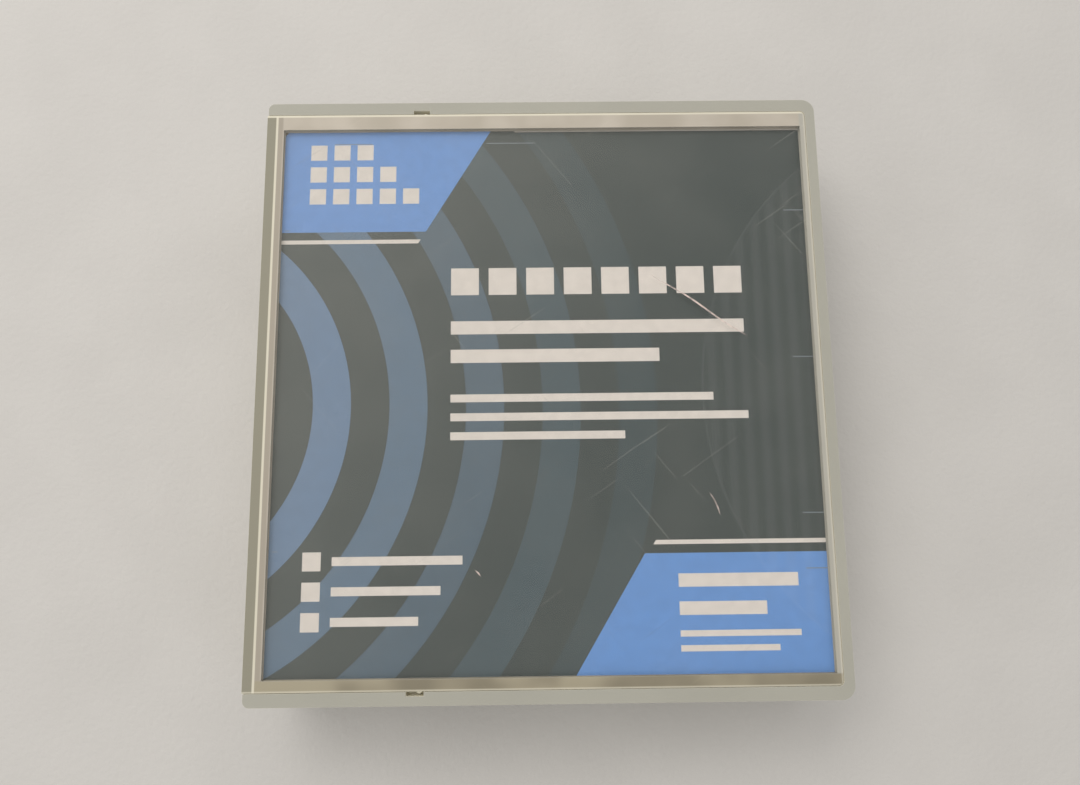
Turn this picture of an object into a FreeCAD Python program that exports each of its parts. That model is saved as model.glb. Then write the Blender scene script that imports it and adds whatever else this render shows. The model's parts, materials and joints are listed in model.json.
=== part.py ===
import FreeCAD, Part

# A half-inch data tape cartridge in its hinged storage case, with a folded paper inlay card under the lid.
# Millimetres. The case lies on its back: X runs from the hinged spine to the opening edge, Y along the
# spine and Z through the thickness. The origin is the middle of the footprint, on the resting face.

import math
import os

V = FreeCAD.Vector

# ---------------------------------------------------------------- storage case
END_WALL = 1.9            # tray wall at the opening edge
SIDE_WALL = 2.4           # tray walls at both ends of the spine
TRAY_FLOOR = 1.4
TRAY_CORNER = 2.5         # outer corner radius at the opening edge
EAR_CORNER = 1.2          # outer corner radius of the hinge ears
EAR_SETBACK = 0.2         # the ears stop short of the spine's outer face
LID_GAP = 0.1             # running gap between the lid and the tray walls
LID_PLATE = 1.2
LID_CORNER = 1.0
SPINE = 2.0               # spine wall thickness, also the radius of its rounded foot
SPINE_PLAY = 2.4          # spine wall to cartridge
END_PLAY = 0.9            # cartridge to the tray wall at the opening edge
SKIRT_PLAY = 1.1          # cartridge to the lid's skirts
TOP_PLAY = 0.25           # cartridge to the lid's tabs
SKIRT = 1.2               # lid side skirts, inside the tray walls
SKIRT_DEPTH = 5.0
SKIRT_FRONT_DEPTH = 2.5   # skirt depth at the opening edge
TONGUE = 10.0             # length of the deep part of the skirt at the hinge
TONGUE_CORNER = 6.0
END_LIP = 0.6             # lid lip along the opening edge
FLOOR_GAP = 0.2           # the spine's foot over the resting face
FOOT_GAP = 0.2            # clearance round the spine's foot in the tray floor
PIN_R = 1.1
PIN_RUN = 0.05            # radial running clearance of the hinge pins
PIN_END_GAP = 0.3         # the pins stop inside the ears' outer faces
TAB = 0.7                 # thickness of the tabs that hold the card
TAB_SNIP = 1.0            # snipped corners of the tabs
TAB_REACH_SIDE = 4.5
TAB_REACH_END = 5.5
SIDE_TABS = ((-37.6, 7.6), (-6.35, 9.5), (28.5, 9.0))    # middle along X and width
END_TABS = ((-29.55, 10.1), (0.0, 10.2), (29.55, 10.1))  # middle along Y and width
DETENT_X = -23.2          # closing detent on both side walls
DETENT_R = 0.5
DETENT_HEIGHT = 1.2
NOTCH_BEHIND = 2.3        # the detent's notch, towards the hinge
NOTCH_AHEAD = 0.9
NOTCH_DEPTH = 0.75
NOTCH_HEIGHT = 2.6
RIB = 0.6                 # low locating ribs on the tray floor
RIB_LENGTH = 12.0
RIB_HEIGHT = 9.0
SIDE_RIBS = (-28.0, 0.0, 28.0)
END_RIBS = (-30.0, 30.0)

# ---------------------------------------------------------------- inlay card
CARD = 0.25
CARD_PLAY = 0.05          # over and under the card
CARD_LEFT = 1.0           # spine wall's inner face to the fold
CARD_RIGHT = 0.7          # lid edge to the card
CARD_TOP, CARD_BOTTOM = 2.5, 1.9                         # lid edges to the card
CARD_CLIP = 1.6           # snipped corner
FLAP_INSET = 1.5          # the spine flap is shorter than the panel at both ends
FLAP_FOOT_GAP = 3.8       # the flap stops above the hinge line

# ---------------------------------------------------------------- reel, brake and drive coupling
TAPE_WIDTH = 12.65
TAPE_PLAY = 0.03          # tape pack to each flange
HUB_R = 22.0
PACK_R = 45.6
FLANGE_R = 47.4
FLANGE = 1.2
FLANGE_PLAY = 1.2         # lower flange over the shell floor
FLANGE_SEAT = 0.02        # upper flange over the hub's mouth
REEL_HEADROOM = 1.17      # upper flange to the shell roof
REEL_FRONT_PLAY = 2.0     # flange to the shell walls
REEL_REAR_PLAY = 1.2
REEL_SIDE_PLAY = 3.3
HUB_WALL = 3.0
HUB_WEB = 2.4
TEETH = 36
TOOTH = 1.0               # tooth height
TOOTH_WIDTH = 1.9
TOOTH_INSET = 0.3         # the drive ring stands this much proud of its teeth, inside and outside
TOOTH_PLAY = 0.15         # brake teeth over the bottom of the hub's teeth
BRAKE_TEETH_R = (12.2, 16.2)
DRIVE_TEETH_R = (13.2, 17.2)
DRIVE_RING = 1.5          # height of the drive ring under the web
SPINDLE_GAP = 1.2         # drive ring to the spindle hole
CLUTCH_BORE_R = 4.0
CLUTCH_GAP = 0.6          # clutch plate to the drive ring
CLUTCH = 1.0
PAD = 0.85
PAD_LEG = (3.0, 2.6)      # leg size along the radius and across it
PAD_LEG_CIRCLE = 8.0
PAD_EDGE = 1.1            # pad left outside each leg
PAD_LEG_PLAY = 0.2
PAD_LEG_STAND = 0.3       # legs below the clutch plate
BRAKE_RIM = 1.0           # brake disc beyond its teeth
BRAKE_DISC = 1.6
BRAKE_LIFT = 1.6
BRAKE_BOSS_R = 5.4
BRAKE_BOSS = 5.2
KEY = 5.4                 # square post that keeps the brake from turning
KEY_PLAY = 0.15
KEY_BOTTOM_GAP = 0.6      # left under the post with the brake lifted
SPRING_WIRE = 0.4         # wire radius
SPRING_TURNS = 4
SPRING_PLAY = 0.5
SPRING_SEAT = 0.1

# ---------------------------------------------------------------- cartridge shells
SHELL_WALL = 2.0
SHELL_ROOF = 2.0
SHELL_CORNER = 3.0
SHELL_EASE = 1.2          # rounding at the ends of the chamfer
FRONT_CHAMFER = 8.0       # leading corner away from the door
EDGE_BEVEL = 0.7
GRIP_R = 58.0             # the ribbed grip is a segment of this circle
GRIP_LENGTH = 21.8        # the segment's reach from the rear face
GRIP_SHIFT = -1.5         # the segment's middle, from the cartridge's
GRIP_DEPTH = 0.6
GRIP_RIB = 1.4
GRIP_PITCH = 3.2
GRIP_MARGIN = 2.2
ARROW_INSET = 4.0         # leading face to the arrow's tip
ARROW_LENGTH = 8.4
ARROW_HALF = 7.9
ARROW_BOW = 1.3
ARROW_DEPTH = 0.4
BOSS_R = 3.2
SCREW_R = 1.15
SCREW_HEAD_R = 2.2
SCREW_HEAD = 1.4
SCREW_SINK = 0.2
SCREW_LENGTH = 13.5
SCREW_PLAY = 0.15
# Insets from the leading or rear face and from the side: front left, rear left, rear right, behind the door.
SCREW_FRONT = (7.0, 10.7)
SCREW_REAR_LEFT = (7.6, 9.3)
SCREW_REAR_RIGHT = (9.4, 9.3)
SCREW_DOOR = (21.7, 7.7)
DATUM_R = 2.0             # locating holes in the underside
DATUM_DEPTH = 1.2
DATUM_INSET = 9.2
DATUM_Y = (-33.0, 30.0)
WELL_RIB = 1.2            # curved ribs round the reel
WELL_GAP = 1.6            # ribs to flange
WELL_ARC = 40.0           # degrees
WELL_SHORT = 3.0          # the ribs stop short of the parting line
GRIPPER_REAR = 22.0       # handling notches in both sides, from the rear face
GRIPPER_LENGTH = 7.0
GRIPPER_DEPTH = 1.0
GRIPPER_HEIGHT = 6.0

# ---------------------------------------------------------------- leader pin and door
PIN_INSET = (6.6, 8.1)    # leading face and door side to the pin
LEADER_PIN_R = 1.15
LEADER_HEAD_R = 2.1
LEADER_HEAD = 1.2
LEADER_END_PLAY = 0.3
CLIP_WALL = 0.8
CLIP_PLAY = 0.06
CLIP_MOUTH = 70.0         # degrees left open towards the door
CUP_WALL = 1.0            # pockets that hold the pin's ends
CUP_HEIGHT = 1.6
CUP_PLAY = 0.4
PIN_SPRING = 0.3
PIN_SPRING_HEIGHT = 1.1
LEADER_TAPE = 0.1
LEADER_TAPE_GAP = 0.3
DOOR_FRONT = 3.6          # leading face to the door's opening
DOOR_OPENING = 13.6
DOOR_SILL = 0.8           # wall left over and under the opening
DOOR_LAP = 0.5            # the door laps the opening
DOOR = 1.2
DOOR_PLAY = 0.15
DOOR_TRAVEL = 12.0
DOOR_RIDGE = (1.2, 0.9)   # length and stand of the finger ridge
RAIL_START = 8.5          # the inner rail starts behind the pin's way out
RAIL = 0.6
RAIL_HEIGHT = 1.3
DOOR_SPRING_R = 0.65
DOOR_SPRING_WIRE = 0.16
DOOR_SPRING_TURNS = 7
DOOR_SPRING_SEAT = 0.05
DOOR_SPRING_CLOSED = 10.0 # room left for the spring with the door open
DOOR_STOP = 1.2

# ---------------------------------------------------------------- write protection and memory chip
SWITCH_INSET = 6.3        # side face to the window
SWITCH_TRAVEL = 5.0
SWITCH_PLATE = (8.4, 1.4, 7.0)
SWITCH_NUB = (4.2, 4.2)
SWITCH_NUB_STAND = 1.5
SWITCH_NUB_GROOVE = (0.8, 0.5)
SWITCH_PLAY = 0.12
SWITCH_END_PLAY = 0.4
SWITCH_KEEPER = 0.8
CHIP = (8.6, 0.8, 7.6)
CHIP_LUMP = (3.2, 0.5, 3.0)
CHIP_CORNER_GAP = 4.6
CHIP_CLIP = 0.8
CHIP_SLOT_PLAY = 0.03

JOIN = 0.5                # how far a fused feature is sunk in what carries it
OUT = 1.0                 # how far a cut runs past the face that it opens

# ---------------------------------------------------------------- what follows from the sizes
SHELL_X = 2 * SHELL_WALL + REEL_FRONT_PLAY + 2 * FLANGE_R + REEL_REAR_PLAY
SHELL_Y = 2 * (SHELL_WALL + REEL_SIDE_PLAY + FLANGE_R)
REEL_Z = FLANGE + TAPE_WIDTH + 2 * TAPE_PLAY + FLANGE_SEAT + FLANGE
SHELL_Z = 2 * SHELL_ROOF + FLANGE_PLAY + REEL_Z + REEL_HEADROOM
CASE_X = SPINE + SPINE_PLAY + SHELL_X + END_PLAY + END_WALL
CASE_Y = SHELL_Y + 2 * (SKIRT_PLAY + SKIRT + LID_GAP + SIDE_WALL)
CASE_Z = TRAY_FLOOR + SHELL_Z + TOP_PLAY + TAB + CARD + 2 * CARD_PLAY + LID_PLATE

X0, X1 = -CASE_X / 2, CASE_X / 2
Y0, Y1 = -CASE_Y / 2, CASE_Y / 2
TRAY_IN_X = X1 - END_WALL
TRAY_IN_Y = Y1 - SIDE_WALL
LID_X = TRAY_IN_X - LID_GAP
LID_Y = TRAY_IN_Y - LID_GAP
LID_UNDER = CASE_Z - LID_PLATE
SKIRT_IN_Y = LID_Y - SKIRT
HINGE = (X0 + SPINE, FLOOR_GAP + SPINE)          # x and z of the hinge axis
CARD_Z1 = LID_UNDER - CARD_PLAY
CARD_Z0 = CARD_Z1 - CARD
TAB_Z1 = CARD_Z0 - CARD_PLAY
TAB_Z0 = TAB_Z1 - TAB

SX1 = TRAY_IN_X - END_PLAY
SX0 = SX1 - SHELL_X
SY1 = SHELL_Y / 2
SY0 = -SY1
SZ0 = TRAY_FLOOR
SZ1 = SZ0 + SHELL_Z
SPLIT = (SZ0 + SZ1) / 2
FLOOR_IN = SZ0 + SHELL_ROOF
ROOF_IN = SZ1 - SHELL_ROOF
WALL_IN_X = SX1 - SHELL_WALL
WALL_IN_Y = SY1 - SHELL_WALL
SCREW_PLACES = (
    (SX0 + SCREW_FRONT[0], SY0 + SCREW_FRONT[1]),
    (SX1 - SCREW_REAR_LEFT[0], SY0 + SCREW_REAR_LEFT[1]),
    (SX1 - SCREW_REAR_RIGHT[0], SY1 - SCREW_REAR_RIGHT[1]),
    (SX0 + SCREW_DOOR[0], SY1 - SCREW_DOOR[1]),
)

RX, RY = WALL_IN_X - REEL_REAR_PLAY - FLANGE_R, 0.0
FLANGE_Z = FLOOR_IN + FLANGE_PLAY
FLANGE_TOP = FLANGE_Z + FLANGE
HUB_TOP = FLANGE_TOP + TAPE_WIDTH + 2 * TAPE_PLAY
TAPE_Z = (FLANGE_TOP + TAPE_PLAY, HUB_TOP - TAPE_PLAY)
WEB_TOP = FLANGE_Z + HUB_WEB
CLUTCH_R = DRIVE_TEETH_R[0] - CLUTCH_GAP
TEETH_BASE = WEB_TOP + TOOTH_PLAY + TOOTH        # underside of the brake disc
DISC_TOP = TEETH_BASE + BRAKE_DISC
BOSS_TOP = DISC_TOP + BRAKE_BOSS
KEY_FLOOR = TEETH_BASE + BRAKE_DISC / 2
KEY_END = KEY_FLOOR + BRAKE_LIFT + KEY_BOTTOM_GAP

DOOR_X = (SX0 + DOOR_FRONT, SX0 + DOOR_FRONT + DOOR_OPENING)
DOOR_Y1 = WALL_IN_Y - DOOR_PLAY
DOOR_Y0 = DOOR_Y1 - DOOR
DOOR_Z = (FLOOR_IN + DOOR_PLAY, ROOF_IN - DOOR_PLAY)
DOOR_REAR = DOOR_X[1] + DOOR_LAP
DOOR_STOP_X = DOOR_REAR + DOOR_TRAVEL + DOOR_SPRING_CLOSED
PIN_PLACE = (SX0 + PIN_INSET[0], SY1 - PIN_INSET[1])
PIN_Z = (FLOOR_IN + LEADER_END_PLAY, ROOF_IN - LEADER_END_PLAY)
SWITCH_Y = SY0 + SWITCH_INSET
SWITCH_MID_Z = FLOOR_IN + SWITCH_PLATE[2] / 2


# ---------------------------------------------------------------- shapes
def box(x0, x1, y0, y1, z0, z1):
    """A block between two values on each axis."""
    return Part.makeBox(x1 - x0, y1 - y0, z1 - z0, V(x0, y0, z0))


def disc(x, y, r, z0, z1):
    """A cylinder along Z."""
    return Part.makeCylinder(r, z1 - z0, V(x, y, z0))


def ring(x, y, r_in, r_out, z0, z1):
    return disc(x, y, r_out, z0, z1).cut(disc(x, y, r_in, z0, z1))


def fuse(first, *others):
    """One solid from several that meet."""
    return first.fuse(list(others)).removeSplitter() if others else first


def mirror_y(shape):
    return shape.mirror(V(0, 0, 0), V(0, 1, 0))


def outline(corners):
    """A closed wire through (x, y, radius) corners, with an arc at each corner that has a radius."""
    starts, ends, arcs = [], [], []
    for i, (x, y, r) in enumerate(corners):
        here = V(x, y, 0)
        back = V(*corners[i - 1][:2], 0) - here
        on = V(*corners[(i + 1) % len(corners)][:2], 0) - here
        back.normalize()
        on.normalize()
        half = back.getAngle(on) / 2
        reach = r / math.tan(half)
        middle = back + on
        middle.normalize()
        starts.append(here + back * reach)
        ends.append(here + on * reach)
        arcs.append(here + middle * (r / math.sin(half) - r))
    edges = []
    for i, corner in enumerate(corners):
        if corner[2] > 0:
            edges.append(Part.Arc(starts[i], arcs[i], ends[i]).toShape())
        after = starts[(i + 1) % len(corners)]
        if (after - ends[i]).Length > 1e-6:
            edges.append(Part.LineSegment(ends[i], after).toShape())
    return Part.Wire(edges)


def prism(corners, z0, z1):
    """A plate with an outline of (x, y, radius) corners."""
    face = Part.Face(outline(corners))
    face.translate(V(0, 0, z0))
    return face.extrude(V(0, 0, z1 - z0))


def side_prism(corners, y0, y1):
    """A plate standing along Y, with an outline of (x, z, radius) corners."""
    plate = prism(corners, 0, y1 - y0)
    plate.rotate(V(0, 0, 0), V(1, 0, 0), 90)
    plate.translate(V(0, y1, 0))
    return plate


def rounded(x0, x1, y0, y1, r_left, r_right):
    """Corners of a rectangle, with one radius on the left and one on the right."""
    return [(x0, y0, r_left), (x1, y0, r_right), (x1, y1, r_right), (x0, y1, r_left)]


def bevel(shape, z, size, keep=lambda edge: True):
    """Chamfers the edges that lie at one height."""
    edges = [
        e for e in shape.Edges
        if abs(e.BoundBox.ZMin - z) < 1e-4 and abs(e.BoundBox.ZMax - z) < 1e-4 and keep(e)
    ]
    return shape.makeChamfer(size, edges)


def tube_along(points, r, sides):
    """A closed round wire along a list of points, each joint a mitre."""
    loops = []
    for i, p in enumerate(points):
        ahead = points[min(i + 1, len(points) - 1)] - points[max(i - 1, 0)]
        ahead.normalize()
        out = ahead.cross(V(0, 0, 1)) if abs(ahead.z) < 0.9 else ahead.cross(V(1, 0, 0))
        out.normalize()
        up = out.cross(ahead)
        turn = [2 * math.pi * k / sides for k in range(sides)]
        loops.append([p + out * (r * math.cos(a)) + up * (r * math.sin(a)) for a in turn])
    faces = [Part.Face(Part.makePolygon(loop + loop[:1])) for loop in (loops[0], loops[-1])]
    for near, far in zip(loops, loops[1:]):
        for k in range(sides):
            a, b, c, d = near[k], near[(k + 1) % sides], far[(k + 1) % sides], far[k]
            faces.append(Part.Face(Part.makePolygon([a, b, c, a])))
            faces.append(Part.Face(Part.makePolygon([a, c, d, a])))
    shell = Part.makeShell(faces)
    shell.sewShape()
    return Part.Solid(shell)


def strip(points, thickness, z0, z1):
    """A bent strip of even thickness, standing on edge along a path of (x, y) points."""
    left, right = [], []
    for i, (x, y) in enumerate(points):
        x_a, y_a = points[max(i - 1, 0)]
        x_b, y_b = points[min(i + 1, len(points) - 1)]
        into = math.atan2(y - y_a, x - x_a) if i else math.atan2(y_b - y, x_b - x)
        out = math.atan2(y_b - y, x_b - x) if i < len(points) - 1 else into
        turn = math.atan2(math.sin(out - into), math.cos(out - into))
        across = into + turn / 2 + math.pi / 2
        reach = thickness / 2 / math.cos(turn / 2)
        left.append((x + reach * math.cos(across), y + reach * math.sin(across), 0))
        right.append((x - reach * math.cos(across), y - reach * math.sin(across), 0))
    return prism(left + right[::-1], z0, z1)


# ---------------------------------------------------------------- storage case
def case_tray():
    """The tray: floor, three outer walls, and the ears that hold the hinge pins."""
    ear_x = X0 + EAR_SETBACK
    floor_x = HINGE[0] + 0.6 * SPINE
    body = prism(rounded(ear_x, X1, Y0, Y1, EAR_CORNER, TRAY_CORNER), 0, CASE_Z)
    body = body.cut(prism(
        rounded(ear_x - 2 * EAR_CORNER, TRAY_IN_X, -TRAY_IN_Y, TRAY_IN_Y, 0, LID_CORNER), TRAY_FLOOR, CASE_Z
    ))
    body = body.cut(box(ear_x - OUT, floor_x, -TRAY_IN_Y, TRAY_IN_Y, -OUT, TRAY_FLOOR + OUT))
    foot = Part.makeCylinder(SPINE + FOOT_GAP, 2 * TRAY_IN_Y, V(HINGE[0], -TRAY_IN_Y, HINGE[1]), V(0, 1, 0))
    socket = Part.makeCylinder(PIN_R + PIN_RUN, CASE_Y, V(HINGE[0], Y0, HINGE[1]), V(0, 1, 0))
    notch = box(
        DETENT_X - NOTCH_BEHIND, DETENT_X + NOTCH_AHEAD,
        TRAY_IN_Y - OUT, TRAY_IN_Y + NOTCH_DEPTH, CASE_Z - NOTCH_HEIGHT, CASE_Z + OUT,
    )
    body = body.cut([foot, socket, notch, mirror_y(notch)])
    return fuse(body, *tray_ribs())


def tray_ribs():
    """Low ribs on the tray floor that keep the cartridge from sliding about."""
    y = (SY1 + SKIRT_IN_Y) / 2
    z0, z1 = TRAY_FLOOR - JOIN, TRAY_FLOOR + RIB_HEIGHT
    half = RIB_LENGTH / 2
    ribs = []
    for x in SIDE_RIBS:
        rib = box(x - half, x + half, y - RIB / 2, y + RIB / 2, z0, z1)
        ribs += [rib, mirror_y(rib)]
    for y in END_RIBS:
        ribs.append(box(TRAY_IN_X - RIB, TRAY_IN_X + JOIN, y - half, y + half, z0, z1))
    return ribs


def case_lid():
    """The clear lid: plate, spine wall, side skirts, card tabs, detents and hinge pins, in one moulding."""
    hx, hz = HINGE
    plate = prism(rounded(X0, LID_X, -LID_Y, LID_Y, 0, LID_CORNER), LID_UNDER, CASE_Z)
    spine = box(X0, X0 + SPINE, -LID_Y, LID_Y, hz, CASE_Z)
    foot = Part.makeCylinder(SPINE, 2 * LID_Y, V(hx, -LID_Y, hz), V(0, 1, 0))
    foot = foot.common(box(X0, hx, -LID_Y, LID_Y, FLOOR_GAP, hz))
    skirt = side_prism([
        (hx - JOIN, LID_UNDER + JOIN, 0),
        (LID_X - LID_CORNER, LID_UNDER + JOIN, 0),
        (LID_X - LID_CORNER, LID_UNDER - SKIRT_FRONT_DEPTH, 0),
        (hx + 2 * TONGUE, LID_UNDER - SKIRT_DEPTH, TONGUE_CORNER),
        (hx + TONGUE, hz + 0.6 * TONGUE, TONGUE_CORNER),
        (hx + 1.6 * SPINE, hz, SPINE / 2),
        (hx - JOIN, hz, 0),
    ], SKIRT_IN_Y, LID_Y)
    knuckle = Part.makeCylinder(SPINE, SKIRT, V(hx, SKIRT_IN_Y, hz), V(0, 1, 0))
    pin = Part.makeCylinder(PIN_R, Y1 - PIN_END_GAP - SKIRT_IN_Y, V(hx, SKIRT_IN_Y, hz), V(0, 1, 0))
    nib_z = CASE_Z - (NOTCH_HEIGHT + DETENT_HEIGHT) / 2
    nib = Part.makeCylinder(DETENT_R, DETENT_HEIGHT, V(DETENT_X, LID_Y, nib_z))
    side = [skirt, knuckle, pin, nib]
    lip = box(LID_X - END_LIP, LID_X, -SKIRT_IN_Y, SKIRT_IN_Y, TAB_Z0, LID_UNDER + JOIN)
    return fuse(plate, spine, foot, lip, *side, *[mirror_y(s) for s in side], *card_tabs())


def card_tab(width, reach):
    """A thin tab that reaches out along -Y from the origin, with snipped corners."""
    half = width / 2
    return prism([
        (-half, JOIN, 0), (-half, TAB_SNIP - reach, 0), (TAB_SNIP - half, -reach, 0),
        (half - TAB_SNIP, -reach, 0), (half, TAB_SNIP - reach, 0), (half, JOIN, 0),
    ], TAB_Z0, TAB_Z1)


def card_tabs():
    """The tabs from the skirts and the lip, under the card's edges."""
    tabs = []
    for x, width in SIDE_TABS:
        tab = card_tab(width, TAB_REACH_SIDE)
        tab.translate(V(x, SKIRT_IN_Y, 0))
        tabs += [tab, mirror_y(tab)]
    for y, width in END_TABS:
        tab = card_tab(width, TAB_REACH_END)
        tab.rotate(V(0, 0, 0), V(0, 0, 1), -90)
        tab.translate(V(LID_X - END_LIP, y, 0))
        tabs.append(tab)
    return tabs


def inlay_card():
    """The folded card: a front panel under the lid and a flap down inside the spine wall."""
    x0, x1 = X0 + SPINE + CARD_LEFT, LID_X - CARD_RIGHT
    y0, y1 = CARD_BOTTOM - LID_Y, LID_Y - CARD_TOP
    panel = prism([
        (x0, y0, 0), (x1, y0, 0), (x1, y1, 0), (x0 + CARD_CLIP, y1, 0), (x0, y1 - CARD_CLIP, 0),
    ], CARD_Z0, CARD_Z1)
    flap = box(
        x0 - CARD, x0, y0 + FLAP_INSET, y1 - FLAP_INSET - CARD_CLIP, HINGE[1] + FLAP_FOOT_GAP, CARD_Z1,
    )
    return fuse(panel, flap)


# ---------------------------------------------------------------- cartridge shells
def shell_corners(inset=0.0):
    """The cartridge's outline in plan, drawn in by an inset."""
    x0, x1, y0, y1 = SX0 + inset, SX1 - inset, SY0 + inset, SY1 - inset
    r = max(SHELL_CORNER - inset, 0.5)
    front = FRONT_CHAMFER - inset * (2 - math.sqrt(2))
    return [
        (x0 + front, y0, SHELL_EASE), (x1, y0, r), (x1, y1, r), (x0, y1, r), (x0, y0 + front, SHELL_EASE),
    ]


def reel_well(z0, z1):
    """Curved ribs round the reel at three corners. The corner with the leader pin stays open."""
    r = FLANGE_R + WELL_GAP
    ribs = []
    for middle in (-135, -45, 45):
        inner, outer = (
            Part.makeCylinder(radius, z1 - z0, V(RX, RY, z0), V(0, 0, 1), WELL_ARC)
            for radius in (r, r + WELL_RIB)
        )
        rib = outer.cut(inner)
        rib.rotate(V(RX, RY, 0), V(0, 0, 1), middle - WELL_ARC / 2)
        ribs.append(rib)
    return ribs


def screw_bosses(z0, z1):
    """A boss at each screw. Those on the left reach the side wall."""
    bosses = []
    for x, y in SCREW_PLACES:
        if y > 0:
            bosses.append(disc(x, y, BOSS_R, z0, z1))
        else:
            block = box(x - BOSS_R, x + BOSS_R, SY0, y + BOSS_R, z0, z1)
            bosses.append(block.common(prism(shell_corners(SHELL_WALL / 2), z0, z1)))
    return bosses


def door_window():
    return box(DOOR_X[0], DOOR_X[1], WALL_IN_Y - OUT, SY1 + OUT, FLOOR_IN + DOOR_SILL, ROOF_IN - DOOR_SILL)


def gripper_notches(z0, z1):
    """Handling notches in both side walls."""
    x1 = SX1 - GRIPPER_REAR
    notch = box(x1 - GRIPPER_LENGTH, x1, SY1 - GRIPPER_DEPTH, SY1 + OUT, z0, z1)
    return [notch, mirror_y(notch)]


def pin_cup(z0, z1):
    """A pocket for one end of the leader pin, open towards the door."""
    x, y = PIN_PLACE
    r = LEADER_HEAD_R + CUP_PLAY
    wide = r + CUP_WALL
    cup = disc(x, y, wide, z0, z1).fuse(box(x - wide, x + wide, y, y + wide, z0, z1))
    return cup.cut([
        disc(x, y, r, z0 - OUT, z1 + OUT), box(x - r, x + r, y, y + 2 * wide, z0 - OUT, z1 + OUT),
    ])


def door_rail(z0, z1):
    y1 = DOOR_Y0 - DOOR_PLAY
    return box(DOOR_X[0] + RAIL_START, DOOR_REAR + DOOR_TRAVEL, y1 - RAIL, y1, z0, z1)


def shell_half(z_plate, z_in, z_open, z_end):
    """A tray of the cartridge's outline: plate from z_plate to z_in, walls on to z_end."""
    low, high = min(z_plate, z_end), max(z_plate, z_end)
    body = bevel(prism(shell_corners(), low, high), z_plate, EDGE_BEVEL)
    return body.cut(prism(shell_corners(SHELL_WALL), min(z_in, z_open), max(z_in, z_open)))


def door_stop(z0, z1):
    return box(DOOR_STOP_X, DOOR_STOP_X + DOOR_STOP, DOOR_Y0, WALL_IN_Y + JOIN, z0, z1)


def switch_keeper():
    """The wall behind the write-protect switch."""
    x1 = WALL_IN_X - SWITCH_PLATE[1] - 2 * SWITCH_PLAY
    y0 = SWITCH_Y + SWITCH_END_PLAY - (SWITCH_PLATE[0] - SWITCH_NUB[0]) / 2
    y1 = y0 + SWITCH_PLATE[0] + SWITCH_TRAVEL
    return box(x1 - SWITCH_KEEPER, x1, y0, y1, FLOOR_IN - JOIN, FLOOR_IN + SWITCH_PLATE[2])


def switch_window():
    half = SWITCH_NUB[1] / 2 + SWITCH_PLAY
    length = SWITCH_NUB[0] + SWITCH_TRAVEL + 2 * SWITCH_END_PLAY
    return box(
        WALL_IN_X - OUT, SX1 + OUT, SWITCH_Y, SWITCH_Y + length, SWITCH_MID_Z - half, SWITCH_MID_Z + half
    )


def lower_shell():
    """The underside shell, with the spindle hole, screw bosses, switch window and pin pocket."""
    body = shell_half(SZ0, FLOOR_IN, SPLIT + OUT, SPLIT)
    foot = FLOOR_IN - JOIN
    adds = [
        *reel_well(foot, SPLIT - WELL_SHORT), *screw_bosses(foot, SPLIT), *chip_clips(), switch_keeper(),
        pin_cup(foot, FLOOR_IN + CUP_HEIGHT), door_rail(foot, FLOOR_IN + RAIL_HEIGHT), door_stop(foot, SPLIT),
    ]
    body = fuse(body, *adds)
    spindle_r = DRIVE_TEETH_R[1] + SPINDLE_GAP
    cuts = [
        disc(RX, RY, spindle_r, SZ0 - OUT, FLOOR_IN + OUT),
        door_window(), switch_window(), *gripper_notches(SPLIT - GRIPPER_HEIGHT, SPLIT + OUT),
    ]
    for x, y in SCREW_PLACES:
        cuts.append(disc(x, y, SCREW_R + SCREW_PLAY, SZ0 - OUT, SPLIT + OUT))
        cuts.append(disc(x, y, SCREW_HEAD_R + SCREW_PLAY, SZ0 - OUT, SZ0 + SCREW_SINK + SCREW_HEAD))
    cuts += [disc(SX0 + DATUM_INSET, y, DATUM_R, SZ0 - OUT, SZ0 + DATUM_DEPTH) for y in DATUM_Y]
    return body.cut(cuts)


def upper_shell():
    """The top shell, with the ribbed grip, the insertion arrow and the brake's key post."""
    body = shell_half(SZ1, ROOF_IN, SPLIT - OUT, SPLIT)
    top = ROOF_IN + JOIN
    adds = [
        *reel_well(SPLIT + WELL_SHORT, top), *screw_bosses(SPLIT, top),
        pin_cup(ROOF_IN - CUP_HEIGHT, top), door_rail(ROOF_IN - RAIL_HEIGHT, top), door_stop(SPLIT, top),
        box(RX - KEY / 2, RX + KEY / 2, RY - KEY / 2, RY + KEY / 2, KEY_END, top),
    ]
    body = fuse(body, *adds)
    tip = SZ0 + SCREW_SINK + SCREW_HEAD + SCREW_LENGTH
    cuts = [disc(x, y, SCREW_R + SCREW_PLAY / 5, SPLIT - OUT, tip + JOIN) for x, y in SCREW_PLACES]
    cuts += gripper_notches(SPLIT - OUT, SPLIT + GRIPPER_HEIGHT)
    return body.cut(cuts + [door_window(), insertion_arrow()] + grip_grooves())


def insertion_arrow():
    """A shallow arrowhead that points at the leading edge."""
    x, y = SX0 + ARROW_INSET, 0.0
    back = x + ARROW_LENGTH
    edges = [
        Part.LineSegment(V(x, y, 0), V(back, y + ARROW_HALF, 0)).toShape(),
        Part.Arc(V(back, y + ARROW_HALF, 0), V(back - ARROW_BOW, y, 0), V(back, y - ARROW_HALF, 0)).toShape(),
        Part.LineSegment(V(back, y - ARROW_HALF, 0), V(x, y, 0)).toShape(),
    ]
    face = Part.Face(Part.Wire(edges))
    face.translate(V(0, 0, SZ1 - ARROW_DEPTH))
    return face.extrude(V(0, 0, ARROW_DEPTH + OUT))


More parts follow.
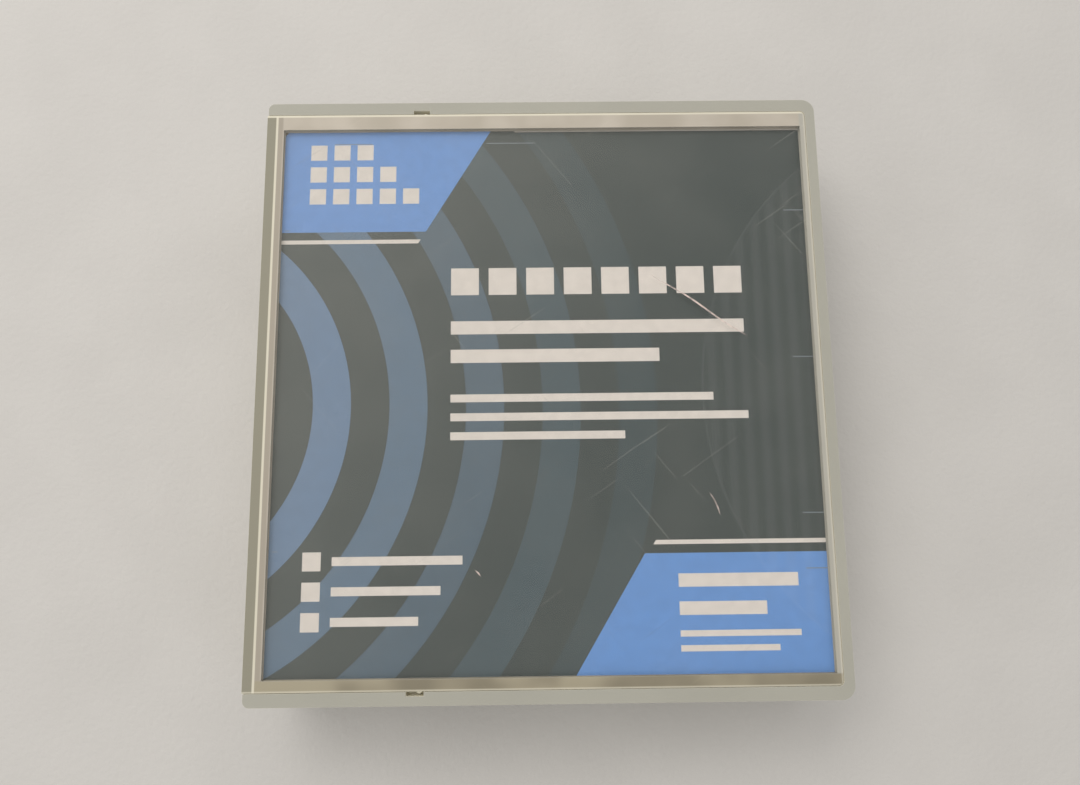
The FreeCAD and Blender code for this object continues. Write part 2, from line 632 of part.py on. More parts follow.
def grip_grooves():
    """Grooves between the ribs of the grip, each clipped by the grip's round edge."""
    left = SX1 - GRIP_LENGTH
    segment = disc(left + GRIP_R, GRIP_SHIFT, GRIP_R, SZ1 - GRIP_DEPTH, SZ1 + OUT)
    count = int((SX1 - GRIP_MARGIN - left) / GRIP_PITCH)
    grooves = []
    for i in range(count):
        x1 = SX1 - GRIP_MARGIN - i * GRIP_PITCH
        groove = box(
            x1 - (GRIP_PITCH - GRIP_RIB), x1, SY0 + 2 * GRIP_MARGIN, SY1 - 2 * GRIP_MARGIN,
            SZ1 - GRIP_DEPTH, SZ1 + OUT,
        )
        grooves.append(groove.common(segment))
    return grooves


def shell_screws():
    """Four pan-head screws, up from the underside."""
    z0 = SZ0 + SCREW_SINK
    z1 = z0 + SCREW_HEAD
    return Part.Compound([
        disc(x, y, SCREW_HEAD_R, z0, z1).fuse(disc(x, y, SCREW_R, z1, z1 + SCREW_LENGTH)).removeSplitter()
        for x, y in SCREW_PLACES
    ])


# ---------------------------------------------------------------- reel and brake
def ring_teeth(r0, r1, z_base, height, start=0.0):
    """A ring of radial teeth of triangular section. A negative height points them down."""
    half = TOOTH_WIDTH / 2
    made = []
    for i in range(TEETH):
        section = Part.makePolygon([
            V(r0, -half, z_base), V(r0, half, z_base), V(r0, 0, z_base + height), V(r0, -half, z_base),
        ])
        tooth = Part.Face(section).extrude(V(r1 - r0, 0, 0))
        tooth.rotate(V(0, 0, 0), V(0, 0, 1), start + i * 360 / TEETH)
        tooth.translate(V(RX, RY, 0))
        made.append(tooth)
    return made


def pad_legs(play, z0, z1):
    """The release pad's three legs, or the slots for them where play is more than nothing."""
    deep, wide = (size / 2 + play for size in PAD_LEG)
    legs = []
    for i in range(3):
        leg = box(PAD_LEG_CIRCLE - deep, PAD_LEG_CIRCLE + deep, -wide, wide, z0, z1)
        leg.rotate(V(0, 0, 0), V(0, 0, 1), 90 + 120 * i)
        leg.translate(V(RX, RY, 0))
        legs.append(leg)
    return legs


def reel_hub():
    """The hub, with its lower flange, brake teeth inside and drive teeth underneath."""
    ring_z = FLANGE_Z - DRIVE_RING
    r0, r1 = DRIVE_TEETH_R
    body = fuse(
        disc(RX, RY, FLANGE_R, FLANGE_Z, FLANGE_TOP),
        disc(RX, RY, HUB_R, FLANGE_Z, HUB_TOP),
        ring(RX, RY, r0, r1, ring_z, FLANGE_Z + JOIN),
    )
    body = body.cut([
        disc(RX, RY, HUB_R - HUB_WALL, WEB_TOP, HUB_TOP + OUT),
        *pad_legs(PAD_LEG_PLAY, FLANGE_Z - OUT, WEB_TOP + OUT),
    ])
    body = body.fuse(ring_teeth(*BRAKE_TEETH_R, WEB_TOP, TOOTH))
    return body.fuse(ring_teeth(r0 + TOOTH_INSET, r1 - TOOTH_INSET, ring_z, -TOOTH))


def reel_upper_flange():
    """The upper flange, a flat disc round the hub's mouth."""
    z0 = HUB_TOP + FLANGE_SEAT
    return ring(RX, RY, HUB_R - HUB_WALL, FLANGE_R, z0, z0 + FLANGE)


def clutch_plate():
    """The steel washer that the drive's magnet holds, with slots for the release pad's legs."""
    z1 = FLANGE_Z - FLANGE_SEAT
    plate = ring(RX, RY, CLUTCH_BORE_R, CLUTCH_R, z1 - CLUTCH, z1)
    return plate.cut(pad_legs(PAD_LEG_PLAY, z1 - CLUTCH - OUT, z1 + OUT))


def tape_pack():
    """The wound tape, as one solid between the flanges."""
    return ring(RX, RY, HUB_R + FLANGE_SEAT, PACK_R, *TAPE_Z)


def release_pad():
    """The three-legged pad that a drive pushes up to free the brake."""
    z0 = WEB_TOP + FLANGE_SEAT
    plate = disc(RX, RY, PAD_LEG_CIRCLE + PAD_LEG[0] / 2 + PAD_EDGE, z0, z0 + PAD)
    return fuse(plate, *pad_legs(0, FLANGE_Z - CLUTCH - PAD_LEG_STAND, z0 + PAD / 2))


def brake_button():
    """The toothed disc that locks the hub, with a square socket for the key post."""
    half = KEY / 2 + KEY_PLAY
    body = fuse(
        disc(RX, RY, BRAKE_TEETH_R[1] + BRAKE_RIM, TEETH_BASE, DISC_TOP),
        disc(RX, RY, BRAKE_BOSS_R, DISC_TOP, BOSS_TOP),
    )
    body = body.cut(box(RX - half, RX + half, RY - half, RY + half, KEY_FLOOR, BOSS_TOP + OUT))
    return body.fuse(ring_teeth(*BRAKE_TEETH_R, TEETH_BASE, -TOOTH, 180 / TEETH))


def coil(centre, axis_z, r, wire, turns, length, per_turn):
    """Points of a helix of full length, with a nearly closed turn at each end."""
    steps = int((turns + 2) * per_turn)
    closed = 1.25 * 2 * wire                     # rise of an end turn
    points = []
    for i in range(steps + 1):
        turn = i / per_turn
        rise = closed * min(turn, 1.0) + closed * max(turn - turns - 1, 0.0)
        rise += (length - 2 * wire - 2 * closed) * min(max((turn - 1) / turns, 0.0), 1.0)
        a = 2 * math.pi * turn
        across = (r * math.cos(a), r * math.sin(a))
        points.append(centre + (V(*across, wire + rise) if axis_z else V(wire + rise, *across)))
    return points


def brake_spring():
    """The coil spring round the brake's boss, up to the roof."""
    z0 = DISC_TOP + SPRING_SEAT
    r = BRAKE_BOSS_R + SPRING_PLAY + SPRING_WIRE
    path = coil(V(RX, RY, z0), True, r, SPRING_WIRE, SPRING_TURNS, ROOF_IN - SPRING_SEAT - z0, 10)
    return tube_along(path, SPRING_WIRE, 5)


# ---------------------------------------------------------------- leader pin and door
def leader_pin():
    """The steel pin on the tape's end, with a head at each end."""
    x, y = PIN_PLACE
    z0, z1 = PIN_Z
    return fuse(
        disc(x, y, LEADER_PIN_R, z0, z1),
        disc(x, y, LEADER_HEAD_R, z0, z0 + LEADER_HEAD),
        disc(x, y, LEADER_HEAD_R, z1 - LEADER_HEAD, z1),
    )


def leader_pin_clip():
    """The open sleeve that holds the tape's end round the pin."""
    x, y = PIN_PLACE
    r0 = LEADER_PIN_R + CLIP_PLAY
    z0, z1 = TAPE_Z
    sleeve = ring(x, y, r0, r0 + CLIP_WALL, z0, z1)
    mouth = Part.makeCylinder(r0 + 2 * CLIP_WALL, z1 - z0, V(x, y, z0), V(0, 0, 1), CLIP_MOUTH)
    mouth.rotate(V(x, y, 0), V(0, 0, 1), 90 - CLIP_MOUTH / 2)
    return sleeve.cut(mouth)


def tape_leader():
    """The stretch of tape from the pack to the pin, straight along the leading edge."""
    x, y = PIN_PLACE
    r_pin = LEADER_PIN_R + CLIP_PLAY + CLIP_WALL + LEADER_TAPE
    r_pack = PACK_R + LEADER_TAPE_GAP + LEADER_TAPE / 2
    dx, dy = x - RX, y - RY
    apart = math.hypot(dx, dy)
    lean = math.atan2(dy, dx) + math.acos((r_pack - r_pin) / apart)
    across = V(math.cos(lean), math.sin(lean), 0)
    start = V(RX, RY, 0) + across * r_pack
    end = V(x, y, 0) + across * r_pin
    return strip([(start.x, start.y), (end.x, end.y)], LEADER_TAPE, *TAPE_Z)


def pin_spring(z0):
    """A bent leaf spring along the pocket's side, with its arm hooked over the pin's head."""
    x, y = PIN_PLACE
    back = x - LEADER_HEAD_R - CUP_PLAY - CUP_WALL - PIN_SPRING
    over = y + LEADER_HEAD_R + CUP_PLAY + CUP_WALL + PIN_SPRING
    path = [
        (back, y - LEADER_HEAD_R), (back, over),
        (x - LEADER_HEAD_R, over), (x - LEADER_HEAD_R / 3, y + LEADER_HEAD_R + PIN_SPRING),
    ]
    return strip(path, PIN_SPRING, z0, z0 + PIN_SPRING_HEIGHT)


def access_door():
    """The sliding door over the leader pin, with a finger ridge."""
    x0, x1 = DOOR_X[0] - DOOR_LAP, DOOR_REAR
    plate = box(x0, x1, DOOR_Y0, DOOR_Y1, *DOOR_Z)
    edge = DOOR_SILL + DOOR_PLAY
    ridge_x = DOOR_X[0] + DOOR_PLAY
    ridge = box(
        ridge_x, ridge_x + DOOR_RIDGE[0], DOOR_Y1, DOOR_Y1 + DOOR_RIDGE[1], FLOOR_IN + edge, ROOF_IN - edge,
    )
    return fuse(plate, ridge)


def door_spring():
    """The fine coil spring between the door and its stop."""
    x0 = DOOR_REAR + DOOR_SPRING_SEAT
    length = DOOR_STOP_X - DOOR_SPRING_SEAT - x0
    centre = V(x0, (DOOR_Y0 + DOOR_Y1) / 2, SPLIT)
    path = coil(centre, False, DOOR_SPRING_R, DOOR_SPRING_WIRE, DOOR_SPRING_TURNS, length, 7)
    return tube_along(path, DOOR_SPRING_WIRE, 4)


# ---------------------------------------------------------------- write protection and memory chip
def write_protect_switch():
    """The sliding switch behind the rear wall, with a grooved nub in the window."""
    length, thick, height = SWITCH_PLATE
    x1 = WALL_IN_X - SWITCH_PLAY
    nub_x = x1 + SWITCH_NUB_STAND
    nub_y = SWITCH_Y + SWITCH_END_PLAY
    y0 = nub_y - (length - SWITCH_NUB[0]) / 2
    half = SWITCH_NUB[1] / 2
    plate = box(x1 - thick, x1, y0, y0 + length, FLOOR_IN + FLANGE_SEAT, FLOOR_IN + height)
    nub = box(x1 - JOIN, nub_x, nub_y, nub_y + SWITCH_NUB[0], SWITCH_MID_Z - half, SWITCH_MID_Z + half)
    width, depth = SWITCH_NUB_GROOVE
    middle = nub_y + SWITCH_NUB[0] / 2
    groove = box(
        nub_x - depth, nub_x + OUT, middle - width / 2, middle + width / 2,
        SWITCH_MID_Z - half - OUT, SWITCH_MID_Z + half + OUT,
    )
    return fuse(plate, nub).cut(groove)


def at_chip(shape):
    """Turns a shape made along X to lie across the rear corner, in front of the memory chip's seat."""
    shape.rotate(V(0, 0, 0), V(0, 0, 1), -45)
    shape.translate(V(WALL_IN_X - CHIP_CORNER_GAP, WALL_IN_Y - CHIP_CORNER_GAP, FLOOR_IN))
    return shape


def memory_chip():
    """The small board of the contactless memory, standing across the rear corner."""
    length, thick, height = CHIP
    wide, deep, tall = CHIP_LUMP
    board = box(-length / 2, length / 2, -thick / 2, thick / 2, 0, height)
    lump = box(-wide / 2, wide / 2, 0, thick / 2 + deep, (height - tall) / 2, (height + tall) / 2)
    return at_chip(fuse(board, lump))


def chip_clips():
    """Two slotted posts that hold the chip board's edges."""
    length, thick, height = CHIP
    reach = thick / 2 + CHIP_CLIP
    play = CHIP_SLOT_PLAY
    slot = box(-length / 2 - play, length / 2 + play, -thick / 2 - play, thick / 2 + play, 0, height)
    posts = []
    for side in (-1, 1):
        post = box(-CHIP_CLIP, CHIP_CLIP, -reach, reach, -JOIN, 0.7 * height)
        post.translate(V(side * length / 2, 0, 0))
        posts.append(at_chip(post.cut(slot)))
    return posts


NODES = {
    "case_tray": case_tray,
    "case_lid": case_lid,
    "inlay_card": inlay_card,
    "cartridge_lower_shell": lower_shell,
    "cartridge_upper_shell": upper_shell,
    "shell_screws": shell_screws,
    "access_door": access_door,
    "door_spring": door_spring,
    "leader_pin": leader_pin,
    "leader_pin_clip": leader_pin_clip,
    "tape_leader": tape_leader,
    "lower_pin_spring": lambda: pin_spring(PIN_Z[0]),
    "upper_pin_spring": lambda: pin_spring(PIN_Z[1] - PIN_SPRING_HEIGHT),
    "reel_hub": reel_hub,
    "reel_upper_flange": reel_upper_flange,
    "clutch_plate": clutch_plate,
    "tape_pack": tape_pack,
    "release_pad": release_pad,
    "brake_button": brake_button,
    "brake_spring": brake_spring,
    "write_protect_switch": write_protect_switch,
    "memory_chip": memory_chip,
}

os.makedirs("parts", exist_ok=True)
for name, make in NODES.items():
    shape = make()
    shape.exportStep("parts/" + name + ".step")
    print(f"{name}: {len(shape.Solids)} solid, {shape.Volume:.1f} mm3, valid {shape.isValid()}")
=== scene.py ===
import json
import math

import bmesh
import bpy
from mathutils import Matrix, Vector, geometry


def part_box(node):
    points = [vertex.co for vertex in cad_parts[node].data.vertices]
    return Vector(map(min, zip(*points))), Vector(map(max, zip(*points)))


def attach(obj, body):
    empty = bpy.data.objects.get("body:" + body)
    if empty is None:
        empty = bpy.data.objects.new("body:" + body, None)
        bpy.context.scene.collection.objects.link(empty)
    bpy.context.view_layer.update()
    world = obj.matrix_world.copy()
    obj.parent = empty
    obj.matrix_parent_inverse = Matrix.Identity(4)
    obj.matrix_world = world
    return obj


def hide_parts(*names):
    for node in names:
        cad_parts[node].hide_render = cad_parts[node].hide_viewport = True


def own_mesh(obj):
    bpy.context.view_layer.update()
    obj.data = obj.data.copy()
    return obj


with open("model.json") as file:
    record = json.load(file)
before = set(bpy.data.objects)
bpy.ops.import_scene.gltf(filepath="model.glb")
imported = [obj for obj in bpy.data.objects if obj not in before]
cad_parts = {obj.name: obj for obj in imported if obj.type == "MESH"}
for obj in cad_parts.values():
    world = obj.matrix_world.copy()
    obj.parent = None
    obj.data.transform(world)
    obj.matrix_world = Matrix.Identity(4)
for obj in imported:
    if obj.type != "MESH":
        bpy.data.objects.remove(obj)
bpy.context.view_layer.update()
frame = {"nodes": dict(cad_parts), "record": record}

MM = 0.001


def srgb(r, g, b):
    """Linear colour of an 8-bit one."""
    out = []
    for c in (r, g, b):
        c /= 255
        out.append(c / 12.92 if c <= 0.04045 else ((c + 0.055) / 1.055) ** 2.4)
    return (*out, 1.0)


# ---------------------------------------------------------------- places (mm), tones and slots of materials
CARD_LO, CARD_HI = (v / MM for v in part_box("inlay_card"))
CARD = 0.25                                    # the card's thickness
FOLD_X = CARD_LO.x + CARD                      # the panel starts here, and the flap hangs outside it
CLIP = 1.6                                     # the card's snipped corner
RIDGE = 0.006                                  # a scratch stands this far above the lid
FLAP_INSET = 1.5                               # the flap is shorter than the panel at both ends
LID_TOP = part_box("case_lid")[1].z / MM
LID_UNDER = 24.2                               # underside of the lid's plate
LID_EDGE_X, LID_EDGE_Y = 52.6, 55.0            # edges of the lid's plate
SPINE_INSIDE = CARD_LO.x - 0.75                # inner face of the lid's spine wall
LATCH_X = -23.2                                # the two detents at the sides
LATCH_FLOOR = 22.0                             # they show from here up
EDGE = 0.4                                     # the lid is milky from here outward, over the card's edges
WINDOW_X = (FOLD_X + EDGE, CARD_HI.x - EDGE)
WINDOW_Y = (CARD_LO.y + EDGE / 2, CARD_HI.y - 1.5 * EDGE)
GRIP, GRIP_R, GRIP_PITCH = (88.0, -1.5), 58.0, 3.2    # the shell's ribbed segment
ARROW, ARROW_SLOPE, ARROW_HALF = (-46.5, 0.3), 0.85, 8.4    # tip of the shell's arrowhead, and its sides

# the milky rim by place: all round, beside the spine (darker), at the opening, at the near edge (painted
# shade, darker), over the spine wall (darker)
RIM_TONES = (srgb(186, 177, 162), srgb(200, 191, 177))
LEFT_TONE = srgb(172, 163, 149)
RIGHT_TONE = srgb(184, 181, 170)
NEAR_EDGE_SHADE_TONES = (srgb(138, 130, 110), srgb(172, 163, 140))
SPINE_TONE = srgb(150, 146, 129)
LIT = srgb(232, 226, 206)                      # light caught along the seams
# place 1 holds lit_edge, a brighter copy of the frosted case that paints highlights
PAINTED_HIGHLIGHT_FACE, DEEP_FACE = 1, 2                     # places in the lists of the case pieces' materials


# ---------------------------------------------------------------- materials
class Mat:
    """A material and short ways to add nodes to it."""

    def __init__(self, name):
        self.mat = bpy.data.materials.new(name)
        self.mat.use_nodes = True
        self.tree = self.mat.node_tree
        self.tree.nodes.clear()
        self.shader = self.node("ShaderNodeBsdfPrincipled")
        out = self.node("ShaderNodeOutputMaterial")
        self.link(self.shader.outputs[0], out.inputs[0])
        self.coords = self.node("ShaderNodeTexCoord").outputs["Object"]

    def node(self, kind, **values):
        n = self.tree.nodes.new(kind)
        for key, value in values.items():
            setattr(n, key, value)
        return n

    def link(self, a, b):
        self.tree.links.new(a, b)

    def put(self, value, socket):
        """Links a socket, or sets a plain value."""
        if hasattr(value, "links"):
            self.link(value, socket)
        else:
            socket.default_value = value

    def math(self, op, a, b=0.0, clamp=False):
        """A sum, product or the like of two values."""
        n = self.node("ShaderNodeMath", operation=op, use_clamp=clamp)
        self.put(a, n.inputs[0])
        self.put(b, n.inputs[1])
        return n.outputs[0]

    def mix(self, fac, a, b):
        """A colour between a (fac 0) and b (fac 1)."""
        n = self.node("ShaderNodeMix", data_type="RGBA")
        self.put(fac, n.inputs[0])
        self.put(a, n.inputs[6])
        self.put(b, n.inputs[7])
        return n.outputs[2]

    def spread(self, value, lo, hi, to_lo, to_hi):
        """Carries lo..hi smoothly to to_lo..to_hi."""
        n = self.node("ShaderNodeMapRange", interpolation_type="SMOOTHSTEP")
        self.put(value, n.inputs[0])
        for i, v in enumerate((lo, hi, to_lo, to_hi)):
            n.inputs[i + 1].default_value = v
        return n.outputs[0]

    def place(self):
        """X and Y of the point, in mm."""
        sep = self.node("ShaderNodeSeparateXYZ")
        self.link(self.coords, sep.inputs[0])
        return [self.math("DIVIDE", sep.outputs[i], MM) for i in (0, 1)]

    def beyond(self, value, lo, hi):
        """How far a value is outside a span, negative inside it."""
        return self.math("MAXIMUM", self.math("SUBTRACT", lo, value), self.math("SUBTRACT", value, hi))

    def noise(self, size, detail=3.0, rough=0.55, stretch=None):
        """Noise whose features are about size mm."""
        n = self.node("ShaderNodeTexNoise")
        n.inputs["Scale"].default_value = 1 / (size * MM)
        n.inputs["Detail"].default_value = detail
        n.inputs["Roughness"].default_value = rough
        vector = self.coords
        if stretch:
            m = self.node("ShaderNodeMapping")
            m.inputs["Scale"].default_value = stretch
            self.link(vector, m.inputs[0])
            vector = m.outputs[0]
        self.link(vector, n.inputs["Vector"])
        return n.outputs["Fac"]

    def bump(self, height, depth, strength=1.0):
        """Bump from a 0..1 height of depth mm."""
        n = self.node("ShaderNodeBump")
        n.inputs["Strength"].default_value = strength
        n.inputs["Distance"].default_value = depth * MM
        self.put(height, n.inputs["Height"])
        return n.outputs[0]

    def set(self, **values):
        """Sets the shader's sockets and gives back the finished material."""
        names = {
            "colour": "Base Color", "rough": "Roughness", "metal": "Metallic", "ior": "IOR",
            "alpha": "Alpha", "normal": "Normal",
        }
        for key, value in values.items():
            self.put(value, self.shader.inputs[names[key]])
        return self.mat


def tint(colour, k):
    """A colour made k times as bright."""
    return (*[min(c * k, 1.0) for c in colour[:3]], 1.0)


def moulded(name, colour, rough, grain=0.35, depth=0.02, vary=0.12):
    """Moulded plastic with a fine spark-eroded texture and rubbed patches."""
    m = Mat(name)
    fine, broad = m.noise(grain, 2.0), m.noise(9.0, 4.0)
    tone = m.mix(m.spread(broad, 0.3, 0.7, 0, 1), tint(colour, 1 - vary), tint(colour, 1 + vary))
    return m.set(
        colour=tone, rough=m.spread(broad, 0.25, 0.75, rough - 0.07, rough + 0.08),
        normal=m.bump(fine, depth),
    )


def metal(name, colour, rough):
    """Steel with drawn streaks."""
    m = Mat(name)
    streak = m.noise(0.8, 3.0, 0.6, (1, 1, 8))
    return m.set(
        colour=m.mix(streak, tint(colour, 0.85), tint(colour, 1.1)), metal=1.0,
        rough=m.spread(streak, 0.3, 0.7, rough - 0.08, rough + 0.1), normal=m.bump(streak, 0.01, 0.4),
    )


def frosted(name, colour, alpha, rough=0.34):
    """Milky polypropylene with a fine texture, slightly uneven."""
    m = Mat(name)
    cloud, fine = m.noise(20.0, 2.0, 0.5), m.noise(0.5, 2.0)
    tone = m.mix(m.spread(cloud, 0.3, 0.7, 0, 1), tint(colour, 0.98), tint(colour, 1.02))
    return m.set(
        colour=tone, alpha=m.spread(cloud, 0.2, 0.8, alpha - 0.015, alpha + 0.015),
        rough=m.spread(cloud, 0.2, 0.8, rough - 0.06, rough + 0.08), normal=m.bump(fine, 0.012), ior=1.49,
    )


def clear_lid(name):
    """Clear plastic with a thin haze and a gloss over the card, milky where it is deep at the rim."""
    m = Mat(name)
    x, y = m.place()
    over = m.math("MAXIMUM", m.beyond(x, *WINDOW_X), m.beyond(y, *WINDOW_Y))
    rim = m.spread(over, -0.06, 0.12, 0, 1)
    cloud = m.noise(14.0, 3.0, 0.6)
    # a thin haze, hairlines and a painted reflection (a whiter veil towards the upper left) over the card,
    # then the rim
    hair = m.math("MAXIMUM", hairlines(m, 0.6, 31), hairlines(m, -0.9, 47))
    haze = m.math("ADD", m.spread(cloud, 0.25, 0.75, 0.008, 0.022), m.math("MULTIPLY", hair, 0.07))
    # painted reflection: the haze grows whiter towards the upper left
    painted_veil = m.spread(m.math("SUBTRACT", x, m.math("MULTIPLY", y, 0.6)), -75, 25, 0.05, 0)
    haze = m.math("ADD", haze, painted_veil)
    haze = m.math("ADD", haze, m.math("MULTIPLY", rim, m.spread(m.noise(12.0, 2.0), 0.3, 0.7, 0.87, 0.91)))
    # the gloss is a mirror-like share that grows at a flat angle
    fresnel = m.node("ShaderNodeFresnel")
    fresnel.inputs["IOR"].default_value = 1.49
    front = m.math("SUBTRACT", 1.0, m.node("ShaderNodeNewGeometry").outputs["Backfacing"])
    gloss = m.math("MULTIPLY", fresnel.outputs[0], front)
    alpha = m.math("ADD", haze, gloss, clamp=True)
    # tones of the rim by place, with painted shade at the near edge, and painted highlights along its seams
    border = m.mix(m.spread(m.noise(9.0, 2.0), 0.3, 0.7, 0, 1), *RIM_TONES)
    border = m.mix(m.spread(x, CARD_HI.x - 0.6, CARD_HI.x - 0.3, 0, 1), border, RIGHT_TONE)
    border = m.mix(m.spread(x, FOLD_X, FOLD_X + 0.4, 1, 0), border, LEFT_TONE)
    # painted shade: the rim turns darker at the near edge
    lower = m.mix(m.spread(m.noise(16.0, 2.0), 0.35, 0.65, 0, 1), *NEAR_EDGE_SHADE_TONES)
    border = m.mix(m.spread(y, CARD_LO.y, CARD_LO.y + 0.4, 1, 0), border, lower)
    border = m.mix(m.spread(x, SPINE_INSIDE - 0.15, SPINE_INSIDE + 0.15, 1, 0), border, SPINE_TONE)
    # painted highlights: bright lines along the edges of the lid's plate and the spine wall
    for past, strength in (
        (m.math("SUBTRACT", y, LID_EDGE_Y - 0.42), 0.9),
        (m.math("SUBTRACT", 0.3 - LID_EDGE_Y, y), 0.5),
        (m.math("SUBTRACT", x, LID_EDGE_X - 0.35), 0.35),
        (m.math("SUBTRACT", 0.22, m.math("ABSOLUTE", m.math("SUBTRACT", x, SPINE_INSIDE))), 0.85),
    ):
        border = m.mix(m.spread(past, -0.06, 0.06, 0, strength), border, LIT)
    return m.set(
        colour=m.mix(rim, srgb(226, 224, 214), border), alpha=alpha, metal=m.math("DIVIDE", gloss, alpha),
        rough=m.spread(cloud, 0.2, 0.8, 0.2, 0.28), normal=m.bump(m.noise(22.0, 1.0), 0.05, 0.4),
    )


def hairlines(m, turn, seed):
    """Sparse thin streaks along one direction, moved by the seed."""
    mapping = m.node("ShaderNodeMapping", vector_type="TEXTURE")
    mapping.inputs["Rotation"].default_value = (0, 0, turn)
    mapping.inputs["Scale"].default_value = (11, 0.3, 1)
    mapping.inputs["Location"].default_value = (seed * MM, seed * MM, 0)
    m.link(m.coords, mapping.inputs[0])
    n = m.node("ShaderNodeTexNoise")
    n.inputs["Scale"].default_value = 420
    n.inputs["Detail"].default_value = 1.0
    m.link(mapping.outputs[0], n.inputs["Vector"])
    return m.spread(n.outputs["Fac"], 0.74, 0.79, 0, 1)


def scraped(name, colour):
    """The whitened plastic of a scratch, patchy along its length."""
    m = Mat(name)
    return m.set(colour=colour, alpha=m.spread(m.noise(1.2, 3.0), 0.35, 0.6, 0.35, 0.95), rough=0.6)


def printed(name, colour):
    """Printed card: a slight mottle, and a faint painted sheen where the shell's grip and arrow press into
    it.
    """
    m = Mat(name)
    x, y = m.place()
    # the grip's ribs inside a circle, the circle's rim, and the arrow's two sides, painted lighter as sheen
    dx, dy = m.math("SUBTRACT", x, GRIP[0]), m.math("SUBTRACT", y, GRIP[1])
    r = m.math("SQRT", m.math("ADD", m.math("MULTIPLY", dx, dx), m.math("MULTIPLY", dy, dy)))
    within = m.spread(r, GRIP_R - 0.3, GRIP_R, 1, 0)
    rib = m.math("MULTIPLY", within, m.spread(m.math("PINGPONG", dx, GRIP_PITCH / 2), 0.3, 1.3, 0, 1))
    rim = m.spread(m.math("ABSOLUTE", m.math("SUBTRACT", r, GRIP_R)), 0.05, 0.3, 1, 0)
    side = m.math("ABSOLUTE", m.math("SUBTRACT", y, ARROW[1]))
    slope = m.math("SUBTRACT", m.math("SUBTRACT", x, ARROW[0]), m.math("MULTIPLY", side, ARROW_SLOPE))
    line = m.spread(m.math("ABSOLUTE", slope), 0.05, 0.3, 1, 0)
    line = m.math("MULTIPLY", line, m.spread(side, ARROW_HALF - 0.4, ARROW_HALF, 1, 0))
    painted_sheen = m.math("MULTIPLY", m.math("MAXIMUM", rim, line), 0.03)
    painted_sheen = m.math("ADD", m.math("MULTIPLY", rib, 0.02), painted_sheen)
    mottle = m.noise(2.2, 4.0, 0.6)
    tone = m.mix(m.spread(mottle, 0.3, 0.7, 0, 1), tint(colour, 0.96), tint(colour, 1.04))
    return m.set(colour=m.mix(painted_sheen, tone, srgb(236, 238, 240)), rough=0.5)


finish = {
    "frosted_case": frosted("frosted_case", srgb(184, 182, 170), 0.86),
    # a brighter copy of frosted_case: painted highlight on eased edges, seams and detents
    "lit_edge": frosted("lit_edge", srgb(240, 235, 216), 0.95, 0.25),
    "clear_lid": clear_lid("clear_lid"),
    "lid_edges": frosted("lid_edges", srgb(208, 202, 184), 0.7, 0.22),
    "printed_card": printed("printed_card", srgb(206, 200, 194)),
    "shell_plastic": moulded("shell_plastic", srgb(34, 36, 38), 0.52),
    "door_plastic": moulded("door_plastic", srgb(46, 49, 53), 0.45),
    "reel_plastic": moulded("reel_plastic", srgb(196, 196, 190), 0.4, 0.5, 0.01, 0.05),
    "flange_plastic": moulded("flange_plastic", srgb(88, 92, 96), 0.35, 0.5, 0.01, 0.05),
    "brake_plastic": moulded("brake_plastic", srgb(222, 220, 210), 0.4, 0.4, 0.01, 0.05),
    "clip_plastic": moulded("clip_plastic", srgb(70, 72, 76), 0.4, 0.4, 0.01, 0.08),
    "switch_plastic": moulded("switch_plastic", srgb(176, 44, 34), 0.42, 0.4, 0.01, 0.06),
    "plated_steel": metal("plated_steel", srgb(190, 190, 186), 0.28),
    "spring_steel": metal("spring_steel", srgb(168, 168, 166), 0.3),
    "pin_steel": metal("pin_steel", srgb(200, 200, 200), 0.18),
    "tape": moulded("tape", srgb(42, 36, 33), 0.22, 0.12, 0.004, 0.1),
    "chip_board": moulded("chip_board", srgb(30, 62, 44), 0.38, 0.3, 0.01, 0.1),
    "scratch": scraped("scratch", srgb(224, 206, 197)),
}

for part in frame["record"]["subparts"]:
    node = frame["nodes"][part["node"]]
    node.data.materials.clear()
    node.data.materials.append(finish[part["material_slot"]])


# ---------------------------------------------------------------- storage case
def new_object(name, bm, materials):
    """A visible object made from a bmesh, with its list of materials."""
    mesh = bpy.data.meshes.new(name)
    bm.to_mesh(mesh)
    bm.free()
    obj = bpy.data.objects.new(name, mesh)
    bpy.context.scene.collection.objects.link(obj)
    for m in materials:
        mesh.materials.append(m)
    return obj


def apply_modifiers(obj):
    """Puts the modifiers' result in place of the mesh."""
    depsgraph = bpy.context.evaluated_depsgraph_get()
    mesh = bpy.data.meshes.new_from_object(obj.evaluated_get(depsgraph))
    obj.modifiers.clear()
    obj.data = mesh


def eased(node, name, width, materials):
    """A copy of a CAD node with its sharp edges rounded over and given a painted highlight (a brighter copy
    of its material), and its flat faces kept flat.
    """
    bm = bmesh.new()
    bm.from_mesh(frame["nodes"][node].data)
    bmesh.ops.remove_doubles(bm, verts=bm.verts, dist=0.0005 * MM)
    bmesh.ops.dissolve_limit(
        bm, angle_limit=math.radians(0.6), verts=bm.verts, edges=bm.edges, use_dissolve_boundaries=False,
    )
    obj = new_object(name, bm, materials)
    mod = obj.modifiers.new("ease", "BEVEL")
    mod.width = width * MM
    mod.segments = 2
    # the bevel's faces take the painted highlight
    mod.material = PAINTED_HIGHLIGHT_FACE
    mod.limit_method = "ANGLE"
    mod.angle_limit = math.radians(38)
    mod.miter_outer = "MITER_ARC"
    mod.use_clamp_overlap = True
    mod.loop_slide = True
    apply_modifiers(obj)
    obj.data.shade_smooth()
    obj.data.set_sharp_from_angle(angle=math.radians(50))
    mod = obj.modifiers.new("flats", "WEIGHTED_NORMAL")
    mod.weight = 100
    mod.keep_sharp = True
    apply_modifiers(obj)
    return obj


